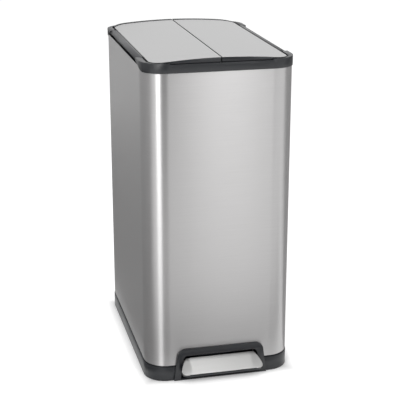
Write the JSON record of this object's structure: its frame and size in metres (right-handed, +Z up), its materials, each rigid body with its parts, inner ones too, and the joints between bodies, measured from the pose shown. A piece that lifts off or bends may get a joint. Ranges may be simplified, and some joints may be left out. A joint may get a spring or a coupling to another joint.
{
  "type": "pedal bin",
  "caption": "Tall brushed-steel pedal bin for sorting waste, with an arched lid split down the middle into butterfly flaps over lift-out buckets.",
  "frame": {"origin": "on the floor, below the middle of the whole bin with its pedal at rest", "axes": "+Z up, -Y out of the front with the pedal, +X to the right as seen from the front"},
  "size_m": [0.3032, 0.4782, 0.6618],
  "materials": {
    "stainless_steel": "fine brushed grain",
    "plain_steel": "plain rolled and turned steel",
    "charcoal_plastic": "fine matt moulding texture",
    "bucket_plastic": "smooth satin moulding",
    "rubber": "matt rubber"
  },
  "bodies": {
    "bin": {"body_shell": "stainless_steel", "base_band": "charcoal_plastic", "base_floor": "charcoal_plastic", "pedal_surround": "charcoal_plastic", "pedal_axle": "plain_steel", "top_collar": "charcoal_plastic", "damper_cylinder": "charcoal_plastic", "rear_duct": "bucket_plastic", "rod_guide_lower": "charcoal_plastic", "rod_guide_middle": "charcoal_plastic", "rod_guide_upper": "charcoal_plastic", "hinge_pin_left": "plain_steel", "hinge_pin_right": "plain_steel", "foot_front_left": "rubber", "foot_front_right": "rubber", "foot_rear_left": "rubber", "foot_rear_right": "rubber", "bumper_front_left": "rubber", "bumper_front_right": "rubber", "bumper_rear_left": "rubber", "bumper_rear_right": "rubber"},
    "pedal": {"pedal_cover": "stainless_steel", "pedal_body": "charcoal_plastic", "pedal_lever": "plain_steel"},
    "lift": {"push_rod": "plain_steel", "lift_yoke": "plain_steel", "rod_clamp": "charcoal_plastic", "damper_rod": "plain_steel"},
    "lid_left": {"lid_frame_left": "charcoal_plastic", "lid_panel_left": "stainless_steel", "lid_liner_left": "bucket_plastic", "crank_left": "plain_steel", "crank_pin_left": "plain_steel"},
    "lid_right": {"lid_frame_right": "charcoal_plastic", "lid_panel_right": "stainless_steel", "lid_liner_right": "bucket_plastic", "crank_right": "plain_steel", "crank_pin_right": "plain_steel"},
    "bucket_front": {"bucket_front": "bucket_plastic"},
    "bucket_rear": {"bucket_rear": "bucket_plastic"}
  },
  "joints": [
    {"name": "pedal_press", "type": "hinge", "parent": "bin", "child": "pedal", "pos_m": [0, -0.05805, 0.028], "axis": [1, 0, 0], "range_deg": [0, 5.07]},
    {"name": "lift_slide", "type": "slide", "parent": "bin", "child": "lift", "axis": [0, 0, 1], "range_m": [0, 0.02522]},
    {"name": "lid_right_hinge", "type": "hinge", "parent": "bin", "child": "lid_right", "pos_m": [0.1455, 0.01395, 0.648], "axis": [0, 1, 0], "range_deg": [0, 78.01]},
    {"name": "lid_left_hinge", "type": "hinge", "parent": "bin", "child": "lid_left", "pos_m": [-0.1455, 0.01395, 0.648], "axis": [0, -1, 0], "range_deg": [0, 78.01]},
    {"name": "bucket_front_lift", "type": "slide", "parent": "bin", "child": "bucket_front", "axis": [0, 0, 1], "range_m": [0, 0.012]},
    {"name": "bucket_rear_lift", "type": "slide", "parent": "bin", "child": "bucket_rear", "axis": [0, 0, 1], "range_m": [0, 0.012]}
  ],
  "couplings": [
    {"joint": "lift_slide", "follows": "pedal_press", "m_per_rad": 0.28463},
    {"joint": "lid_right_hinge", "follows": "pedal_press", "ratio": 15.393},
    {"joint": "lid_left_hinge", "follows": "pedal_press", "ratio": 15.393}
  ]
}
